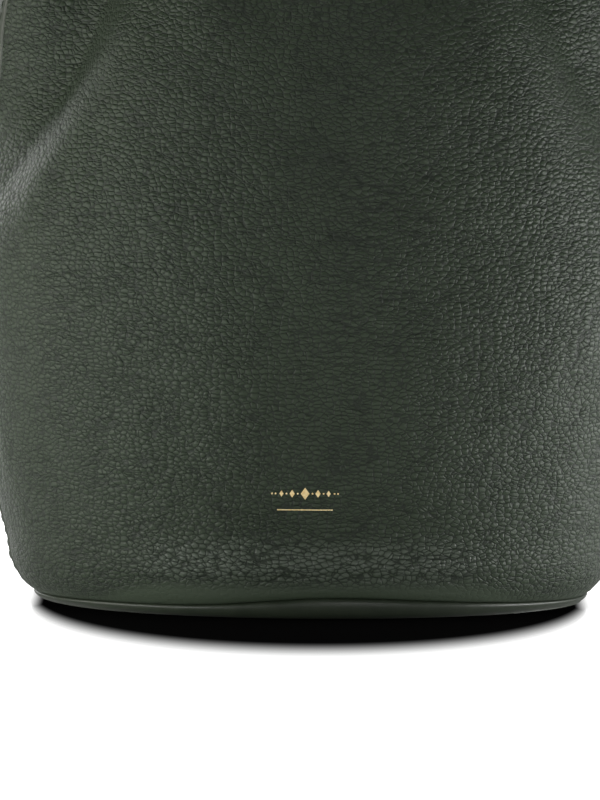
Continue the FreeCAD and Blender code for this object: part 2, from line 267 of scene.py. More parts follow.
def grid_faces(rows, columns, wrap_rows=False, wrap_columns=False):
    """Quads of a grid of points stored row by row."""
    faces = []
    for row in range(rows if wrap_rows else rows - 1):
        for column in range(columns if wrap_columns else columns - 1):
            right = (column + 1) % columns
            above = (row + 1) % rows
            faces.append(
                (
                    row * columns + column,
                    row * columns + right,
                    above * columns + right,
                    above * columns + column,
                )
            )
    return faces


def even_heights(low, high, count):
    """Evenly spaced heights from low to high."""
    return [low + (high - low) * (step / (count - 1)) for step in range(count)]


def oval_sweep(name, profile, material, body, columns=220, wobble=None):
    """Ring swept round the plain outline; profile is a closed loop of (offset, height)."""
    points = []
    for offset, height in profile:
        halves = outline_at(max(height, HEM_LEVEL))
        for column in range(columns):
            angle = 2 * math.pi * column / columns
            extra = wobble(angle, height) if wobble else 0.0
            point, out = oval_place(angle, *halves, height)
            points.append((point + out * (offset + extra)) * MM)
    faces = grid_faces(len(profile), columns, wrap_rows=True, wrap_columns=True)
    return new_piece(name, points, faces, material, body)


# Points round each corner of a strap's cross-section, and columns that lie on each of its sides.
CORNER_POINTS = 5
EDGE_COLUMNS = 2 * CORNER_POINTS


def rounded_strip_profile(width, thickness, crown, radius):
    """Closed cross-section (across, up) of a strap lying flat, with round edges and a crown."""
    half = width / 2
    inset = half - radius
    top_steps = 10
    loop = []

    def add_corner(across, up, start):
        for step in range(CORNER_POINTS):
            turn = math.radians(start + 90 * step / (CORNER_POINTS - 1))
            loop.append((across + radius * math.cos(turn), up + radius * math.sin(turn)))

    add_corner(inset, radius, -90)
    add_corner(inset, thickness - radius, 0)
    for step in range(1, top_steps):
        across = inset * (1 - 2 * step / top_steps)
        loop.append((across, thickness + crown * (1 - (across / half) ** 2)))
    add_corner(-inset, thickness - radius, 90)
    add_corner(-inset, radius, 180)
    return loop


def sweep_strip(name, path, profile, material, body, width_at=None):
    """Strip swept along path, a list of (point, side, up) in millimetres, and capped."""
    points = []
    for index, (place, side, up) in enumerate(path):
        scale = width_at(index) if width_at else 1.0
        for across, rise in profile:
            points.append((place + side * across * scale + up * rise) * MM)
    columns = len(profile)
    faces = grid_faces(len(path), columns, wrap_columns=True)
    faces.append(tuple(range(columns))[::-1])
    last = (len(path) - 1) * columns
    faces.append(tuple(last + index for index in range(columns)))
    return new_piece(name, points, faces, material, body)


def stitch_row(places, length=3.0, radius=0.32, sides=6):
    """Points and faces of slanted thread stitches; places are (point, along, up) in millimetres."""
    points = []
    faces = []
    for place, along, up in places:
        across = along.cross(up).normalized()
        slant = (along + across * 0.16).normalized()
        bulge = [(-0.5, 0.35, -0.25), (-0.42, 0.8, 0.02), (-0.15, 1.0, 0.16)]
        bulge += [(0.15, 1.0, 0.16), (0.42, 0.8, 0.02), (0.5, 0.35, -0.25)]
        first = len(points)
        for travel, girth, lift in bulge:
            centre = place + slant * travel * length + up * lift
            for step in range(sides):
                turn = 2 * math.pi * step / sides
                spoke = across * math.cos(turn) + up * math.sin(turn) * 0.8
                points.append((centre + spoke * radius * girth) * MM)
        rings = len(bulge)
        faces += [
            tuple(first + corner for corner in face)
            for face in grid_faces(rings, sides, wrap_columns=True)
        ]
        faces.append(tuple(first + index for index in range(sides))[::-1])
        faces.append(tuple(first + (rings - 1) * sides + index for index in range(sides)))
    return points, faces


def stitch_piece(name, places, body, **sizes):
    points, faces = stitch_row(places, **sizes)
    piece = new_piece(name, points, faces, THREAD, body)
    return piece


# --- Material helpers ---------------------------------------------------------------------------
def linear(red, green, blue):
    """Scene-linear colour of screen values from 0 to 255."""
    result = []
    for value in (red, green, blue):
        value = value / 255
        result.append(value / 12.92 if value <= 0.04045 else ((value + 0.055) / 1.055) ** 2.4)
    return (*result, 1.0)


def add_ramp(tree, value, numbers, kind="SMOOTHSTEP"):
    """Maps value; numbers are the low and high it comes from, then the low and high it goes to."""
    node = tree.nodes.new("ShaderNodeMapRange")
    node.interpolation_type = kind
    tree.links.new(value, node.inputs["Value"])
    for socket, number in zip(node.inputs[1:5], numbers):
        socket.default_value = number
    return node.outputs[0]


class Nodes:
    """Short-hand for building one material's node tree."""

    def __init__(self, name):
        self.material = bpy.data.materials.new(name)
        self.material.use_nodes = True
        self.tree = self.material.node_tree
        self.shader = self.tree.nodes["Principled BSDF"]
        coordinates = self.tree.nodes.new("ShaderNodeTexCoord")
        self.place = coordinates.outputs["Object"]

    def new(self, kind, **settings):
        node = self.tree.nodes.new(kind)
        for key, value in settings.items():
            setattr(node, key, value)
        return node

    def put(self, value, socket):
        if hasattr(value, "links"):
            self.tree.links.new(value, socket)
        else:
            socket.default_value = value

    def maths(self, operation, first, second=0.0, third=None):
        node = self.new("ShaderNodeMath", operation=operation)
        self.put(first, node.inputs[0])
        self.put(second, node.inputs[1])
        if third is not None:
            self.put(third, node.inputs[2])
        return node.outputs[0]

    def scaled(self, size, stretch=(1, 1, 1), source=None):
        """Coordinates in which one unit is size millimetres, squeezed by stretch."""
        node = self.new("ShaderNodeMapping")
        self.put(source or self.place, node.inputs["Vector"])
        node.inputs["Scale"].default_value = [1 / (size * MM) * axis for axis in stretch]
        return node.outputs["Vector"]

    def noise(self, size, detail=2.0, roughness=0.5, stretch=(1, 1, 1)):
        node = self.new("ShaderNodeTexNoise")
        self.put(self.scaled(size, stretch), node.inputs["Vector"])
        node.inputs["Scale"].default_value = 1.0
        node.inputs["Detail"].default_value = detail
        node.inputs["Roughness"].default_value = roughness
        return node

    def cells(self, size, feature, stretch=(1, 1, 1), source=None, randomness=1.0):
        node = self.new("ShaderNodeTexVoronoi", feature=feature)
        self.put(self.scaled(size, stretch, source), node.inputs["Vector"])
        node.inputs["Scale"].default_value = 1.0
        node.inputs["Randomness"].default_value = randomness
        return node

    def warped(self, size, amount):
        """The surface's own coordinates pushed about by slow noise, amount in millimetres."""
        push = self.noise(size, detail=2.0)
        centred = self.new("ShaderNodeVectorMath", operation="SUBTRACT")
        self.put(push.outputs["Color"], centred.inputs[0])
        centred.inputs[1].default_value = (0.5, 0.5, 0.5)
        longer = self.new("ShaderNodeVectorMath", operation="SCALE")
        self.put(centred.outputs[0], longer.inputs[0])
        longer.inputs["Scale"].default_value = amount * MM * 2
        total = self.new("ShaderNodeVectorMath", operation="ADD")
        self.put(self.place, total.inputs[0])
        self.put(longer.outputs[0], total.inputs[1])
        return total.outputs[0]

    def ramp(self, value, low, high, low_to=0.0, high_to=1.0, kind="SMOOTHSTEP"):
        return add_ramp(self.tree, value, (low, high, low_to, high_to), kind)

    def mix(self, factor, first, second):
        node = self.new("ShaderNodeMix", data_type="RGBA")
        self.put(factor, node.inputs["Factor"])
        self.put(first, node.inputs[6])
        self.put(second, node.inputs[7])
        return node.outputs[2]

    def bump(self, height, distance, strength=1.0):
        """Bump from a height socket, distance in millimetres."""
        node = self.new("ShaderNodeBump")
        self.put(height, node.inputs["Height"])
        node.inputs["Distance"].default_value = distance * MM
        node.inputs["Strength"].default_value = strength
        return node.outputs["Normal"]

    def finish(self, colour, roughness, normal=None, **sockets):
        self.put(colour, self.shader.inputs["Base Color"])
        self.put(roughness, self.shader.inputs["Roughness"])
        if normal is not None:
            self.put(normal, self.shader.inputs["Normal"])
        for name, value in sockets.items():
            self.shader.inputs[name.replace("_", " ")].default_value = value
        return self.material


# --- Materials ----------------------------------------------------------------------------------
def pebbled_leather():
    """Full-grain leather: rounded plates about two millimetres across, parted by fine creases."""
    n = Nodes("pebbled_leather")
    plate_size = 2.05
    plate_stretch = (0.92, 0.70, 1.36)
    warp = n.warped(5.0, 0.7)
    plates = n.cells(plate_size, "SMOOTH_F1", plate_stretch, warp, 0.9)
    plates.inputs["Smoothness"].default_value = 0.2
    parts = n.cells(plate_size, "DISTANCE_TO_EDGE", plate_stretch, warp, 0.9)
    small = n.cells(1.3, "SMOOTH_F1", (0.95, 0.75, 1.2), warp)
    creases = n.cells(6.5, "DISTANCE_TO_EDGE", (0.6, 0.6, 2.5), n.warped(8.0, 2.4))
    dome = n.ramp(plates.outputs["Distance"], 0.05, 0.85, 1.0, 0.0, "LINEAR")
    gap = n.ramp(parts.outputs["Distance"], 0.0, 0.17)
    dimple = n.ramp(small.outputs["Distance"], 0.1, 0.9, 1.0, 0.0, "LINEAR")
    patch = n.ramp(n.noise(13.0, 1.0).outputs["Fac"], 0.45, 0.62)
    line = n.ramp(creases.outputs["Distance"], 0.0, 0.08)
    line = n.maths("MAXIMUM", line, n.maths("MULTIPLY", patch, 0.9))
    height = n.maths("MULTIPLY_ADD", dome, 0.62, n.maths("MULTIPLY", dimple, 0.15))
    height = n.maths("MULTIPLY_ADD", gap, 0.24, height)
    height = n.maths("MULTIPLY_ADD", line, 0.26, height)
    pores = n.noise(0.5, 2.0)
    height = n.maths("MULTIPLY_ADD", pores.outputs["Fac"], 0.09, height)
    # The leather is skived thin just above the seam, which runs higher at the front.
    split = n.new("ShaderNodeSeparateXYZ")
    n.put(n.place, split.inputs[0])
    front = n.ramp(split.outputs["Y"], -0.068, -0.045, 0.0, 1.0)
    above = n.maths("MULTIPLY_ADD", front, 0.0068, split.outputs["Z"])
    skived = n.ramp(above, 0.0090, 0.0145)
    depth = n.maths("MULTIPLY", height, n.maths("MULTIPLY_ADD", skived, 0.8, 0.2))
    # Painted shade: the colour darkens in the creases between the plates, where shade would fall; the
    # pared leather above the seam gets none.
    shade = n.ramp(n.maths("MULTIPLY", gap, line), 0.0, 0.8, 0.34, 1.0)
    pared_painted_light = n.maths("SUBTRACT", 1.0, skived)
    shade = n.maths("MAXIMUM", shade, pared_painted_light)
    slow = n.noise(60.0, 2.0).outputs["Fac"]
    top = n.mix(n.ramp(slow, 0.3, 0.7), linear(41, 53, 36), linear(46, 58, 41))
    colour = n.mix(shade, linear(13, 21, 14), top)
    # Painted light: the pared leather just above the seam is painted lighter, standing in for the light
    # its downward-facing surface doesn't get.
    colour = n.mix(n.maths("MULTIPLY", pared_painted_light, 0.35), colour, linear(72, 82, 68))
    # A low band at the front has a painted sheen: its pebble tops are painted lighter, and the band is
    # made a little shinier.
    above_hem = n.ramp(split.outputs["Z"], 0.010, 0.017)
    below_belly = n.ramp(split.outputs["Z"], 0.021, 0.031, 1.0, 0.0)
    band = n.maths("MULTIPLY", above_hem, below_belly)
    painted_sheen = n.maths("MULTIPLY", band, n.ramp(split.outputs["Y"], -0.072, -0.060, 1.0, 0.0))
    painted_sheen = n.maths("MULTIPLY", painted_sheen, n.ramp(height, 0.55, 1.05))
    colour = n.mix(n.maths("MULTIPLY", painted_sheen, 0.65), colour, linear(86, 94, 84))
    roughness = n.ramp(height, 0.5, 1.6, 0.57, 0.43, "LINEAR")
    roughness = n.maths("MULTIPLY_ADD", painted_sheen, -0.14, roughness)
    return n.finish(colour, roughness, n.bump(depth, 0.56, 1.0), Specular_IOR_Level=0.35)


def smooth_leather():
    """Polished binding leather: fine hair-cell grain and a soft sheen."""
    n = Nodes("smooth_leather")
    fine = n.cells(0.9, "DISTANCE_TO_EDGE", (1, 1, 1), n.warped(3.0, 0.4))
    slow = n.noise(7.0, 3.0).outputs["Fac"]
    height = n.maths("MULTIPLY_ADD", n.ramp(fine.outputs["Distance"], 0.0, 0.2), 0.25, slow)
    colour = n.mix(n.ramp(slow, 0.3, 0.7), linear(40, 48, 36), linear(46, 54, 41))
    roughness = n.ramp(slow, 0.3, 0.7, 0.36, 0.48, "LINEAR")
    return n.finish(colour, roughness, n.bump(height, 0.10, 0.5), Specular_IOR_Level=0.45)


def edge_paint():
    n = Nodes("edge_paint")
    slow = n.noise(5.0, 2.0).outputs["Fac"]
    colour = n.mix(slow, linear(28, 33, 28), linear(38, 44, 38))
    return n.finish(colour, n.ramp(slow, 0.3, 0.7, 0.28, 0.40, "LINEAR"), n.bump(slow, 0.15, 0.5))


def suede():
    """Lining: short nap with brushed light and dark patches."""
    n = Nodes("suede_lining")
    nap = n.noise(0.55, 3.0, 0.65)
    brush = n.noise(34.0, 3.0, 0.6, (1.0, 1.0, 0.6)).outputs["Fac"]
    colour = n.mix(n.ramp(brush, 0.38, 0.62), linear(134, 118, 94), linear(158, 141, 115))
    colour = n.mix(n.ramp(nap.outputs["Fac"], 0.35, 0.65, 0.0, 0.35), colour, linear(96, 84, 66))
    height = n.maths("MULTIPLY_ADD", brush, 0.6, nap.outputs["Fac"])
    return n.finish(colour, 0.92, n.bump(height, 0.25, 0.8), Sheen_Weight=0.35, Sheen_Roughness=0.4)


def fibre_board():
    n = Nodes("fibre_board")
    fibres = n.noise(1.2, 4.0, 0.6, (0.25, 1.0, 1.0))
    colour = n.mix(fibres.outputs["Fac"], linear(120, 100, 72), linear(152, 130, 98))
    return n.finish(colour, 0.85, n.bump(fibres.outputs["Fac"], 0.15, 0.6))


def gold():
    """Pale gold plate with faint polishing lines and finger wear."""
    n = Nodes("pale_gold")
    lines = n.noise(0.8, 2.0, 0.5, (6.0, 1.0, 1.0)).outputs["Fac"]
    wear = n.noise(4.0, 3.0).outputs["Fac"]
    colour = n.mix(n.ramp(wear, 0.35, 0.7), linear(214, 178, 110), linear(232, 202, 140))
    roughness = n.maths("MULTIPLY_ADD", wear, 0.18, 0.12)
    return n.finish(colour, roughness, n.bump(lines, 0.02, 0.4), Metallic=1.0)


def foil():
    """Hot-stamped foil, taking a little of the leather's grain."""
    n = Nodes("gold_foil")
    grain = n.cells(1.6, "DISTANCE_TO_EDGE", (1, 1, 1.2), n.warped(4.0, 0.6))
    rub = n.noise(1.1, 3.0).outputs["Fac"]
    colour = n.mix(n.ramp(rub, 0.3, 0.7), linear(236, 206, 142), linear(255, 234, 182))
    height = n.ramp(grain.outputs["Distance"], 0.0, 0.2)
    return n.finish(colour, 0.45, n.bump(height, 0.10, 0.5), Metallic=0.35)


def thread():
    n = Nodes("thread")
    twist = n.new("ShaderNodeTexWave", wave_type="BANDS", bands_direction="DIAGONAL")
    n.put(n.scaled(0.9), twist.inputs["Vector"])
    twist.inputs["Scale"].default_value = 1.0
    colour = n.mix(twist.outputs["Fac"], linear(40, 47, 40), linear(66, 74, 64))
    return n.finish(colour, 0.6, n.bump(twist.outputs["Fac"], 0.12, 0.8))


LEATHER = pebbled_leather()
BINDING = smooth_leather()
EDGE = edge_paint()
SUEDE = suede()
BOARD = fibre_board()
GOLD = gold()
FOIL = foil()
THREAD = thread()


# --- Body ---------------------------------------------------------------------------------------
def body_rows():
    """Levels of the leather's rows, closer together near the foot."""
    return even_heights(HEM_LEVEL, 60, 72) + even_heights(61, 262, 180)


def make_panel(name, node, start, columns):
    """Front or back panel, from the turned-in hem up to the edge hidden by the collar."""
    angles = [start + math.pi * column / (columns - 1) for column in range(columns)]
    points = []
    for inward, lift in ((-2.2, 1.2), (-1.2, 0.3), (-0.45, 0.0)):
        for angle in angles:
            points.append(body_point(angle, HEM_LEVEL, inward) + Vector((0, 0, lift * MM)))
    rows = body_rows()
    for row in rows:
        for angle in angles:
            points.append(body_point(angle, row))
    faces = grid_faces(len(rows) + 3, columns)
    piece = new_piece(name, points, faces, LEATHER, "bag_body")
    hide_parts(node)


def make_seam_strip(side_name, angle):
    """Pared strip that covers one side seam, with a row of stitches along each edge."""
    half_width = 8.5
    shift_back = 0.05
    middle = angle + (shift_back if side_name == "right" else -shift_back)
    across = [(-1.0, 0.02), (-0.97, 0.35), (-0.9, 0.5), (-0.75, 0.62), (-0.4, 0.7), (0.0, 0.72)]
    across += [(-share, rise) for share, rise in reversed(across[:-1])]
    levels = even_heights(HEM_LEVEL, 256.0, 170)
    points = []
    for level in levels:
        reach = half_width / outline_at(level)[1]
        for share, rise in across:
            points.append(body_point(middle + share * reach, level, rise))
    faces = grid_faces(len(levels), len(across))
    strip = new_piece("seam_strip_" + side_name, points, faces, BINDING, "bag_body")
    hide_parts("side_seam_" + side_name)
    places = []
    stitch_share = 0.72
    for share in (-stitch_share, stitch_share):
        for level in even_heights(10.0, 251.0, 58):
            reach = half_width / outline_at(level)[1]
            places.append(body_frame(middle + share * reach, level, 0.55))
    stitch_piece("seam_stitches_" + side_name, places, "bag_body", radius=0.26)


def make_base_band():
    """Leather bound round the foot: a half-round roll below the seam that turns under."""
    profile = [(-7.0, 0.0), (-3.6, 0.03), (-1.9, 0.14), (-1.0, 0.30), (-0.4, 0.47), (-0.05, 0.63)]
    profile += [(0.0, 0.76), (-0.2, 0.88), (-0.7, 0.97), (-1.7, 1.03), (-3.6, 1.05)]
    columns = 320
    points = []
    for offset, share in profile:
        for column in range(columns):
            angle = 2 * math.pi * column / columns
            height = max(0.05, share * hem_height(angle))
            point, out = oval_place(angle, *BASE_HALF, height)
            bulge = 3.8 * front_middle(angle)
            bulge += 1.2 * hump(0, math.radians(40), turned(angle, LEFT))
            points.append((point + out * (offset + bulge)) * MM)
    faces = grid_faces(len(profile), columns, wrap_rows=True, wrap_columns=True)
    band = new_piece("base_band", points, faces, BINDING, "bag_body")
    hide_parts("base_binding")


# --- Collar and inside --------------------------------------------------------------------------
# Sine of the angle at each side within which the handle pads cover the collar's stitches.
PAD_CLEARANCE = 0.27
COLLAR_STITCHES = 118


def pucker(angle, height):
    """Small waves that the gathers press into the collar's lower edge, none at the handle pads."""
    clear = smooth(0.25, 0.5, abs(math.sin(angle)))
    level = 1 - smooth(COLLAR_LOW[2], COLLAR_LOW[2] + 16, height)
    return 0.4 * clear * level * math.cos(PLEATS * angle + 0.6)


def collar_row(height, offset):
    """Evenly spaced places round the collar for stitches."""
    half_width, half_depth = outline_at(height)
    places = []
    for index in range(COLLAR_STITCHES):
        angle = 2 * math.pi * index / COLLAR_STITCHES
        angle += 0.5 * (half_width - half_depth) / (half_width + half_depth) * math.sin(2 * angle)
        if abs(math.sin(angle)) < PAD_CLEARANCE:
            continue
        point, out = oval_place(angle, half_width, half_depth, height)
        point += out * (offset + pucker(angle, height))
        places.append((point, Vector((-out.y, out.x, 0)), out))
    return places


def make_collar():
    low = COLLAR_LOW[2]
    high = COLLAR_HIGH[2]
    profile = [(0.1, low + 0.4), (0.5, low), (1.6, low), (2.05, low + 0.5), (2.2, low + 1.6)]
    profile += [(2.25, low + share * (high - low)) for share in (0.15, 0.3, 0.5, 0.7, 0.85, 0.96)]
    profile += [(1.9, high), (0.1, high)]
    collar = oval_sweep("collar_band", profile, BINDING, "bag_body", 360, pucker)
    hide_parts("top_collar")
    rows = collar_row(low + 3.2, 2.25) + collar_row(high - 2.6, 2.2)
    stitch_piece("collar_stitches", rows, "bag_body")

    rim_low, rim_high = box_mm("mouth_binding")
    middle = (rim_low[2] + rim_high[2]) / 2 - 0.4
    profile = []
    for step in range(16):
        turn = 2 * math.pi * step / 16
        profile.append((-1.05 + 3.25 * math.cos(turn), middle + 1.85 * math.sin(turn)))
    rim = oval_sweep("rolled_rim", profile, BINDING, "bag_body", 300)
    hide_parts("mouth_binding")


def make_lining():
    """Suede wall that follows the leather from inside and ends flat behind the collar's facing."""
    inward = -2.8
    columns = 150
    levels = even_heights(11.0, 243.0, 70)
    points = []
    for level in levels:
        flat = smooth(222, 240, level)
        for column in range(columns):
            angle = 2 * math.pi * column / columns
            away, front = slouch(angle, level)
            place = body_point(angle, level, inward - flat * away)
            points.append(place + Vector((0, flat * front, 0)) * MM)
    faces = [face[::-1] for face in grid_faces(len(levels), columns, wrap_columns=True)]
    lining = new_piece("suede_wall", points, faces, SUEDE, "bag_body")
    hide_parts("lining_wall")


# --- Handle -------------------------------------------------------------------------------------
HANDLE_LEAN = math.radians(10.0)
HANDLE_BEND_HEIGHT = 288.0
HANDLE_BEND_RADIUS = 60.0
HANDLE_TOP_RADIUS = 80.0
BACKING_THICKNESS = 1.4
STRAP_THICKNESS = 2.2
STRAP_STITCH_SPACING = 4.2
STITCH_INSET = 3.0
# How far from each end of the strap its stitches stop.
STITCH_SKIP = 24


def handle_path():
    """Inner face of the strap from its right end over the top to its left end."""
    low, high = box_mm("handle_backing")
    leg = high[0] - BACKING_THICKNESS
    centre_x = leg - HANDLE_BEND_RADIUS
    end_x = centre_x + HANDLE_BEND_RADIUS * math.cos(HANDLE_LEAN)
    end_z = HANDLE_BEND_HEIGHT + HANDLE_BEND_RADIUS * math.sin(HANDLE_LEAN)
    straight = (end_x - HANDLE_TOP_RADIUS * math.cos(HANDLE_LEAN)) / math.sin(HANDLE_LEAN)
    top_z = end_z + straight * math.cos(HANDLE_LEAN) - HANDLE_TOP_RADIUS * math.sin(HANDLE_LEAN)
    half = []
    rounding = (high[1] - low[1]) / 2
    for step in range(13):
        rise = rounding * (1 - math.cos(math.pi / 2 * step / 12))
        half.append((leg, low[2] + rise, 0.0))
    for step in range(1, 8):
        height = low[2] + rounding + (HANDLE_BEND_HEIGHT - low[2] - rounding) * step / 7
        half.append((leg, height, 0.0))
    for step in range(1, 6):
        turn = HANDLE_LEAN * step / 5
        x = centre_x + HANDLE_BEND_RADIUS * math.cos(turn)
        half.append((x, HANDLE_BEND_HEIGHT + HANDLE_BEND_RADIUS * math.sin(turn), turn))
    for step in range(1, 30):
        travel = straight * step / 30
        x = end_x - travel * math.sin(HANDLE_LEAN)
        half.append((x, end_z + travel * math.cos(HANDLE_LEAN), HANDLE_LEAN))
    for step in range(41):
        turn = HANDLE_LEAN + (math.pi / 2 - HANDLE_LEAN) * step / 40
        x = HANDLE_TOP_RADIUS * math.cos(turn)
        half.append((x, top_z + HANDLE_TOP_RADIUS * math.sin(turn), turn))
    whole = half + [(-x, z, math.pi - turn) for x, z, turn in reversed(half[:-1])]
    path = []
    for x, z, turn in whole:
        up = Vector((math.cos(turn), 0, math.sin(turn)))
        path.append((Vector((x, 0, z)), Vector((0, 1, 0)), up))
    return path


def end_rounding(count, steps, start=True):
    """Width factors that round off the ends of a strip whose end rows are spaced by a cosine."""
    factors = [1.0] * count
    for step in range(steps):
        factor = max(0.04, math.sin(math.pi / 2 * step / steps))
        if start:
            factors[step] = factor
        factors[count - 1 - step] = factor
    return factors


def even_places(path, spacing, across, rise, skip):
    """Places along a strip every spacing millimetres, for stitches on the face at height rise."""
    places = []
    travelled = 0.0
    wanted = skip
    lengths = [(after[0] - before[0]).length for before, after in zip(path, path[1:])]
    total = sum(lengths)
    for (place, side, up), (next_place, _, next_up), length in zip(path, path[1:], lengths):
        while wanted <= travelled + length and wanted <= total - skip:
            share = (wanted - travelled) / length
            normal = up.lerp(next_up, share).normalized()
            point = place.lerp(next_place, share) + side * across + normal * rise
            along = (next_place - place).normalized()
            places.append((point, along, normal if rise > 0 else -normal))
            wanted += spacing
        travelled += length
    return places


def paint_edges(piece, columns):
    """Gives the sides and the ends of a swept strip the edge-paint material."""
    piece.data.materials.append(EDGE)
    chosen = set(range(EDGE_COLUMNS)) | set(range(columns - EDGE_COLUMNS - 1, columns))
    for polygon in piece.data.polygons:
        if polygon.index % columns in chosen or len(polygon.vertices) > 4:
            polygon.material_index = 1


def make_handle():
    path = handle_path()
    low, high = box_mm("handle_strap")
    width = high[1] - low[1]
    rounding = end_rounding(len(path), 12)
    layers = [
        ("handle_inner", "handle_backing", 0.0, BACKING_THICKNESS, 0.0, 0.45),
        ("handle_outer", "handle_strap", BACKING_THICKNESS + 0.03, STRAP_THICKNESS, 0.9, 0.85),
    ]
    for name, node, lift, thickness, crown, radius in layers:
        profile = rounded_strip_profile(width, thickness, crown, radius=radius)
        raised = [(across, up + lift) for across, up in profile]
        strip = sweep_strip(name, path, raised, BINDING, "handle", lambda row: rounding[row])
        paint_edges(strip, len(profile))
        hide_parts(node)
    top = BACKING_THICKNESS + STRAP_THICKNESS + 0.35
    places = []
    for across in (-width / 2 + STITCH_INSET, width / 2 - STITCH_INSET):
        for rise in (top, -0.02):
            places += even_places(path, STRAP_STITCH_SPACING, across, rise, STITCH_SKIP)
    stitch_piece("handle_stitches", places, "handle")


# --- Closing tab --------------------------------------------------------------------------------
def make_tab():
    """One strap of leather: sewn behind the collar, over the rim, across the mouth, down the front."""
    base_low, base_high = box_mm("tab_base")
    tab_low, tab_high = box_mm("tab_lining")
    under = tab_high[2] - 1.2
    thickness = 2.9
    back = base_high[1] - 1.9
    front = tab_low[1] + 1.2
    bend = 4.0
    outline = []
    for step in range(8):
        outline.append((back, base_low[2] + (under - bend - base_low[2]) * step / 7, 0.0))
    for step in range(1, 9):
        turn = math.pi / 2 * step / 8
        y = back - bend + bend * math.cos(turn)
        outline.append((y, under - bend + bend * math.sin(turn), turn))
    for step in range(1, 32):
        y = back - bend + (front - back + 2 * bend) * step / 31
        outline.append((y, under, math.pi / 2))
    for step in range(1, 9):
        turn = math.pi / 2 * (1 + step / 8)
        y = front + bend + bend * math.cos(turn)
        outline.append((y, under - bend + bend * math.sin(turn), turn))
    half = (tab_high[0] - tab_low[0]) / 2
    for step in range(1, 5):
        z = under - bend - (under - bend - tab_low[2] - half) * step / 4
        outline.append((front, z, math.pi))
    for step in range(1, 15):
        z = tab_low[2] + half * (1 - math.sin(math.pi / 2 * step / 14))
        outline.append((front, z, math.pi))
    path = []
    for y, z, turn in outline:
        up = Vector((0, math.cos(turn), math.sin(turn)))
        path.append((Vector((0, y, z)), Vector((-1, 0, 0)), up))
    factors = end_rounding(len(path), 14, start=False)
    profile = rounded_strip_profile(2 * half, thickness, 0.5, radius=0.9)
    tab = sweep_strip("closing_tab", path, profile, BINDING, None, lambda row: factors[row])
    paint_edges(tab, len(profile))
    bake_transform(tab)
    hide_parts("closure_tab", "tab_lining", "tab_base")
    places = []
    for across in (-half + 2.8, half - 2.8):
        places += even_places(path, STRAP_STITCH_SPACING, across, thickness + 0.15, 7)
    points, faces = stitch_row(places)
    stitches = new_piece("tab_stitches", points, faces, THREAD, None)
    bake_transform(stitches)


# --- Foil ornament ------------------------------------------------------------------------------
def make_foil():
    """Plain stamped ornament: a row of lozenges and dots over a hairline."""
    middle_x = -2.8
    middle_z = 43.6
    hairline_half_length = 9.5
    points = []
    faces = []

    def add(shape, x, z):
        first = len(points)
        ring = len(shape)
        for lift in (-0.05, 0.10):
            points.extend(front_point(middle_x + x + u, middle_z + z + v, lift) for u, v in shape)
        faces.append(tuple(first + ring + index for index in range(ring)))
        for index in range(ring):
            after = (index + 1) % ring
            faces.append((first + index, first + after, first + ring + after, first + ring + index))

    def lozenge(half_width, half_height):
        return [(half_width, 0), (0, half_height), (-half_width, 0), (0, -half_height)]

    def dot(radius):
        return [(radius * math.cos(0.785 * step), radius * math.sin(0.785 * step)) for step in range(8)]

    add(lozenge(1.5, 2.1), 0, 0)
    for side in (-1, 1):
        for place, size in ((4.4, 1.0), (8.0, 0.8)):
            add(lozenge(0.9 * size, 1.35 * size), side * place, 0)
        for place in (2.5, 6.3, 10.0, 11.2):
            add(dot(0.32), side * place, 0)
    steps = 12
    for step in range(steps):
        left = -hairline_half_length + 2 * hairline_half_length * step / steps
        right = -hairline_half_length + 2 * hairline_half_length * (step + 1) / steps
        add([(left, -0.17), (right, -0.17), (right, 0.17), (left, 0.17)], 0, -5.6)
    foil_piece = new_piece("foil_ornament", points, faces, FOIL, "bag_body", False)


# --- CAD parts that stay, with real materials ---------------------------------------------------
def dress(node, material, bevel=0.0):
    """Gives a kept CAD part its material and, if wanted, softened edges of bevel millimetres."""
    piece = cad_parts[node]
    piece.data.materials.clear()
    piece.data.materials.append(material)
    if bevel:
        rounding = piece.modifiers.new("soft_edges", "BEVEL")
        rounding.width = bevel * MM
        rounding.segments = 3
        rounding.limit_method = "ANGLE"
        rounding.angle_limit = math.radians(40)


make_panel("front_leather", "front_panel", LEFT, 388)
make_panel("back_leather", "back_panel", RIGHT, 260)
make_seam_strip("left", LEFT)
make_seam_strip("right", RIGHT)
make_base_band()
make_collar()
make_lining()
make_handle()
make_tab()
make_foil()
for side_name in ("left", "right"):
    dress("handle_pad_" + side_name, BINDING, 0.7)
    dress("handle_rivet_" + side_name, GOLD)
    dress("rivet_washer_" + side_name, GOLD)
dress("base_panel", BINDING)
dress("base_board", BOARD)
dress("collar_stiffener", BOARD)
dress("collar_facing", BINDING)
dress("lining_floor", SUEDE)
dress("pocket_divider", SUEDE)
dress("slip_pocket", SUEDE, 0.3)
dress("pocket_binding", BINDING, 0.25)
dress("magnet_upper", GOLD, 0.4)
dress("magnet_lower", GOLD, 0.4)


# --- Stage, light and camera --------------------------------------------------------------------
WHITE = (1, 1, 1)
